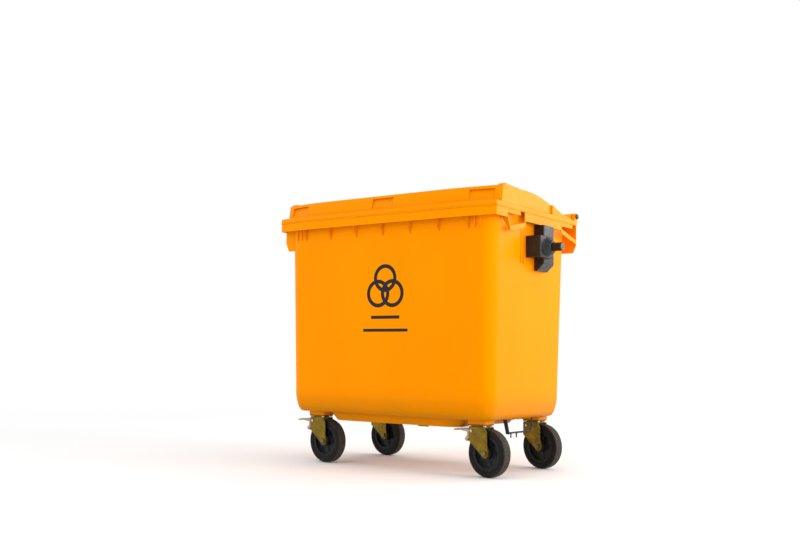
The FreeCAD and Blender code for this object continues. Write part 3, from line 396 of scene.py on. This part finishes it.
# ---------------------------------------------------------------- finishes
ORANGE = (0.94, 0.292, 0.0)
ORANGE_DEEP = (0.88, 0.245, 0.0)
FINISHES = {
    "container_shell": moulded_plastic("container_orange", ORANGE, ORANGE_DEEP),
    "lid_shell": moulded_plastic("lid_orange", (0.94, 0.296, 0.001), (0.89, 0.255, 0.0)),
    "trunnion_casting": dark_casting("trunnion_black"),
    "trunnion_steel": trunnion_steel("trunnion_pin_steel"),
    "zinc_steel": plated_steel("zinc_bright", (0.62, 0.60, 0.56), (0.34, 0.31, 0.26)),
    "backplate_steel": plated_steel("backplate_zinc", (0.60, 0.59, 0.56), (0.36, 0.34, 0.30)),
    "hinge_pin": black_paint("hinge_pin_black"),
    "fork_steel": plated_steel("fork_yellow_zinc", (0.25, 0.158, 0.008), (0.065, 0.044, 0.005),
                               0.75, (0.22, 0.42)),
    "plate_steel": plated_steel("plate_yellow_zinc", (0.17, 0.105, 0.006), (0.085, 0.052, 0.005), 0.7),
    "kingpin_steel": plated_steel("kingpin_zinc", (0.52, 0.47, 0.36), (0.30, 0.25, 0.17)),
    "ball_steel": plated_steel("ball_bright", (0.70, 0.70, 0.70), (0.50, 0.49, 0.47), 1.0, (0.12, 0.25)),
    "hub_plastic": dark_casting("hub_black", 0.10, 0.25),
    "bearing_steel": plated_steel("bearing_bright", (0.58, 0.57, 0.54), (0.40, 0.38, 0.33)),
    "pedal_steel": plated_steel("pedal_zinc", (0.48, 0.37, 0.27), (0.36, 0.27, 0.18)),
    "shoe_rubber": rubber("shoe_black"),
    "bar_steel": black_paint("bar_black"),
    "strap_steel": black_paint("strap_black"),
    "drain_plastic": dark_casting("drain_black"),
    "seal_rubber": rubber("seal_black"),
    "mark_ink": printed_ink("mark_black"),
}
DULL_ZINC = plated_steel("zinc_dull_yellow", (0.24, 0.19, 0.09), (0.09, 0.07, 0.03))
for corner in CORNERS:
    FINISHES["tyre_" + corner] = tyre_rubber(corner)
    FINISHES["axle_bolt_" + corner] = DULL_ZINC


def finish_nodes():
    """Gives every CAD node the finish of its material slot."""
    for name, node in NODES.items():
        slot = node.data.materials[0].name.split(".")[0]
        material = FINISHES.get(name) or FINISHES[slot]
        for i in range(len(node.data.materials)):
            node.data.materials[i] = material


# ---------------------------------------------------------------- detail pieces
def castor_frame(corner):
    """A castor's own frame on the floor under its kingpin: X along the trail, Y along the axle."""
    kingpin = Vector(JOINTS["castor_swivel_" + corner]["pos_m"])
    wheel = JOINTS["wheel_spin_" + corner]
    trail = Vector(wheel["pos_m"]) - kingpin
    trail.z = 0
    turn = Matrix((trail.normalized(), Vector(wheel["axis"]), Vector((0, 0, 1)))).transposed().to_4x4()
    return Matrix.Translation((kingpin.x, kingpin.y, 0)) @ turn


def trail_of(corner):
    gap = Vector(JOINTS["wheel_spin_" + corner]["pos_m"]) - Vector(JOINTS["castor_swivel_" + corner]["pos_m"])
    return math.hypot(gap.x, gap.y)


def ring_profile(inner, outer, base, height, side):
    """A low rounded ring on a side face of a wheel, as (radius, distance) points."""
    third = (outer - inner) / 3
    return [(inner, side * base), (inner + third * 0.6, side * (base + height)),
            (outer - third * 0.6, side * (base + height)), (outer, side * base)]


# Rings on a wheel's side faces: inner and outer radius, the face's distance from mid-wheel, height.
TYRE_RINGS = ((0.0800, 0.0815, 0.0226, 0.0011),
              (0.0862, 0.0872, 0.0226, 0.0011),
              (0.0945, 0.0957, 0.0212, 0.0009))
HUB_RIM_RING = (0.0640, 0.0665, 0.0196, 0.0012)
HUB_EYE_RING = (0.0180, 0.0205, 0.0240, 0.0010)


def dress_wheel(corner):
    """Moulded rings on the tyre's side walls and on the wheel centre, both sides."""
    joint = JOINTS["wheel_spin_" + corner]
    place = (joint["pos_m"], joint["axis"])
    tyre = bmesh.new()
    hub = bmesh.new()
    for side in (-1, 1):
        for ring in TYRE_RINGS:
            add_lathe(tyre, ring_profile(*ring, side), *place, segments=96)
        add_lathe(hub, ring_profile(*HUB_RIM_RING, side), *place, segments=72)
        add_lathe(hub, ring_profile(*HUB_EYE_RING, side), *place, segments=48)
    tyre_finish = FINISHES["tyre_" + corner]
    finish_mesh(tyre, "tyre_rings_" + corner, "wheel_" + corner, tyre_finish, 40)
    finish_mesh(hub, "hub_rings_" + corner, "wheel_" + corner, FINISHES["hub_plastic"], 40)


def fork_runs(trail, crown, axle):
    """Lines along a fork's rolled edges and pressed flutes, in the castor's own frame."""
    leg, rib = 0.0305, 0.0335                # outer faces of the leg and of its flute
    back, front, knee = -0.0415, 0.0435, 0.149
    flute_foot, flute_bend, flute_top = axle + 0.024, 0.180, 0.190
    runs = []
    for side in (-1, 1):
        v = side * leg
        w = side * rib
        runs.append([(back, v, crown), (back, v, knee), (trail - 0.0185, v, axle - 0.0035)])
        runs.append([(front, v, crown), (trail + 0.0187, v, axle + 0.004)])
        runs.append([(trail - 0.0095, w, flute_foot), (trail - 0.0120, w, flute_bend),
                     (trail - 0.0080, w, flute_top)])
        runs.append([(trail + 0.0075, w, flute_foot), (trail + 0.0080, w, flute_bend),
                     (trail + 0.0040, w, flute_top)])
    return runs


def dress_fork(corner):
    """Rolled edges and a pressed flute on each leg, washers on the axle and a ring round the race."""
    local = castor_frame(corner)
    body = "castor_" + corner
    steel = FINISHES["fork_steel"]
    crown = JOINTS["castor_swivel_" + corner]["pos_m"][2]
    wheel = JOINTS["wheel_spin_" + corner]
    runs = [[local @ Vector(point) for point in run]
            for run in fork_runs(trail_of(corner), crown, wheel["pos_m"][2])]
    add_bead("fork_edges_" + corner, runs, 0.0012, body, steel)
    washers = bmesh.new()
    bore, washer_r, chamfer_r = 0.0064, 0.0104, 0.0098
    seat, shoulder, top = 0.0332, 0.0340, 0.0346
    for side in (-1, 1):
        profile = [(bore, side * seat), (bore, side * top), (chamfer_r, side * top),
                   (washer_r, side * shoulder), (washer_r, side * seat)]
        add_lathe(washers, profile, wheel["pos_m"], wheel["axis"], segments=40)
    nut_collar = [(0.0062, 0.0430), (0.0062, 0.0452), (0.0078, 0.0452), (0.0090, 0.0434)]
    add_lathe(washers, nut_collar, wheel["pos_m"], wheel["axis"], segments=32)
    finish_mesh(washers, "axle_washers_" + corner, body, steel, 40)
    race = bmesh.new()
    inner, outer, lip = 0.0375, 0.0400, 0.0046
    profile = [(inner, crown + lip), (inner, crown + 0.0058), (outer, crown + lip), (outer, crown + 0.0040)]
    add_lathe(race, profile, (local.translation.x, local.translation.y, 0), (0, 0, 1), segments=56)
    finish_mesh(race, "race_ring_" + corner, body, steel, 40)


def dress_pedal(corner):
    """Pressed anti-slip bars on the pedal's sloping tread."""
    local = castor_frame(corner)
    first, pitch, slope = -0.089, 0.0082, 0.0625
    tread_start, tread_z = -0.080, 0.197
    half_u, half_v = 0.0016, 0.0205
    bars = bmesh.new()
    for k in range(5):
        u = first - pitch * k
        z = tread_z + (u - tread_start) * slope
        add_block(bars, (u - half_u, -half_v, z - 0.0006), (u + half_u, half_v, z + 0.0011), local, 0.0006)
    finish_mesh(bars, "pedal_bars_" + corner, "brake_" + corner, FINISHES["pedal_steel"])


def dress_container():
    """Crossed ribs under the floor beside the belly, seen from below."""
    floor_z, rib_z, half = 0.2375, 0.0115, 0.0015
    pitch, middle_y = 0.042, -0.024
    low_z = floor_z - rib_z
    ribs = bmesh.new()
    for side in (-1, 1):
        for k in range(-4, 5):
            y = pitch * k + middle_y
            x = sorted((side * 0.384, side * 0.456))
            add_block(ribs, (x[0], y - half, low_z), (x[1], y + half, floor_z))
        for x in (0.402, 0.438):
            middle = side * x
            add_block(ribs, (middle - half, -0.192, low_z), (middle + half, 0.144, floor_z))
    finish_mesh(ribs, "floor_ribs", "container", FINISHES["container_shell"])


def shell_heights(node, x, places, start):
    """Where straight-up rays from height start meet the node's mesh, for each Y in places."""
    mesh = NODES[node]
    heights = []
    for y in places:
        hit, point, normal, index = mesh.ray_cast(Vector((x, y, start)), Vector((0, 0, 1)))
        heights.append(point.z if hit else None)
    return heights


LID_RIBS_X = (-0.42, -0.25, -0.085, 0.085, 0.25, 0.42)
LID_RIB_DEPTH = 0.012


def dress_lid():
    """Stiffening ribs inside the lid, following its barrel shape."""
    low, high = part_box("lid")
    step, front_gap, ends = 0.02, 0.05, 0.14
    places = [low.y + front_gap + step * k for k in range(int((high.y - low.y - ends) / step))]
    half_root, half_edge = 0.002, 0.0012
    ribs = bmesh.new()
    for x in LID_RIBS_X:
        heights = shell_heights("lid", x, places, low.z + 0.012)
        rows = [(y, z) for y, z in zip(places, heights) if z is not None and z > low.z + 0.016]
        rings = []
        for y, z in rows:
            depth = min(LID_RIB_DEPTH, z - low.z - 0.004)
            section = ((-half_root, 0.002), (half_root, 0.002), (half_edge, -depth), (-half_edge, -depth))
            rings.append([ribs.verts.new((x + dx, y, z + dz)) for dx, dz in section])
        for a, b in zip(rings, rings[1:]):
            for i in range(4):
                j = (i + 1) % 4
                ribs.faces.new((a[i], a[j], b[j], b[i]))
        ribs.faces.new(rings[0])
        ribs.faces.new(rings[-1][::-1])
    finish_mesh(ribs, "lid_ribs", "lid", FINISHES["lid_shell"])


def dress_trunnions():
    """A fillet ring at each cone's root, and washers under the bolt heads inside the tub."""
    centre = {m["name"]: m["pos_m"] for m in frame["record"]["mounts"]}
    face = 0.638                             # the block face that the cone stands on
    fillet = [(0.0440, face - 0.0005), (0.0472, face - 0.0005),
              (0.0462, face + 0.0012), (0.0445, face + 0.0030)]
    head_y, head_z = 0.0083, 0.0095          # from the bolts' box to the middle of a head
    bore, washer_r, chamfer_r = 0.0054, 0.0120, 0.0112
    casting = "trunnion_casting"
    for name, side in SIDES:
        axis = (side, 0, 0)
        hub = centre["trunnion_" + name]
        ring = bmesh.new()
        add_lathe(ring, fillet, (0, hub[1], hub[2]), axis, segments=72)
        finish_mesh(ring, "cone_root_" + name, "container", FINISHES[casting], 50)
        low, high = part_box("trunnion_bolts_" + name)
        washers = bmesh.new()
        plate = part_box("trunnion_backplate_" + name)
        inner = min(abs(plate[0].x), abs(plate[1].x))
        profile = [(bore, inner), (bore, inner - 0.0016), (chamfer_r, inner - 0.0016),
                   (washer_r, inner - 0.0008), (washer_r, inner)]
        for y in (low.y + head_y, high.y - head_y):
            for z in (low.z + head_z, high.z - head_z):
                add_lathe(washers, profile, (0, y, z), axis, segments=32)
        finish_mesh(washers, "bolt_washers_" + name, "container", FINISHES["zinc_steel"], 40)


def dress_drain_and_bar():
    """Grip notches round the drain plug, and weld beads where the pegs and the foot join the bar."""
    drain = JOINTS["drain_plug_turn"]["pos_m"]
    notches = 16
    grips = bmesh.new()
    low_grip = (0.0360, -0.0020, drain[2] - 0.0105)
    high_grip = (0.0412, 0.0020, drain[2] - 0.0085)
    for k in range(notches):
        spin = Matrix.Rotation(2 * math.pi * k / notches, 4, "Z")
        turn = Matrix.Translation((drain[0], drain[1], 0)) @ spin
        add_block(grips, low_grip, high_grip, turn, 0.0003)
    finish_mesh(grips, "drain_grips", "drain", FINISHES["drain_plastic"])
    low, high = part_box("foot_bar")
    bar_x, bar_z = (low.x + high.x) / 2, low.z + 0.022
    peg_weld = [(0.0025, -0.0030), (0.0048, -0.0034), (0.0038, -0.0052), (0.0029, -0.0064)]
    foot_weld = [(0.0030, -0.0060), (0.0045, -0.0056), (0.0062, -0.0034), (0.0030, -0.0030)]
    welds = bmesh.new()
    for y in (-0.053, -0.004):
        add_lathe(welds, peg_weld, (bar_x, y, bar_z), (0, 0, 1), segments=24)
    add_lathe(welds, foot_weld, (bar_x, 0.134, 0.2370), (0, 0, 1), segments=24)
    finish_mesh(welds, "bar_welds", "container", FINISHES["bar_steel"], 50)


place_camera()
light_scene()
add_floor()
finish_nodes()
for corner in CORNERS:
    dress_wheel(corner)
    dress_fork(corner)
for corner in ("fl", "fr"):
    dress_pedal(corner)
dress_container()
dress_lid()
dress_trunnions()
dress_drain_and_bar()
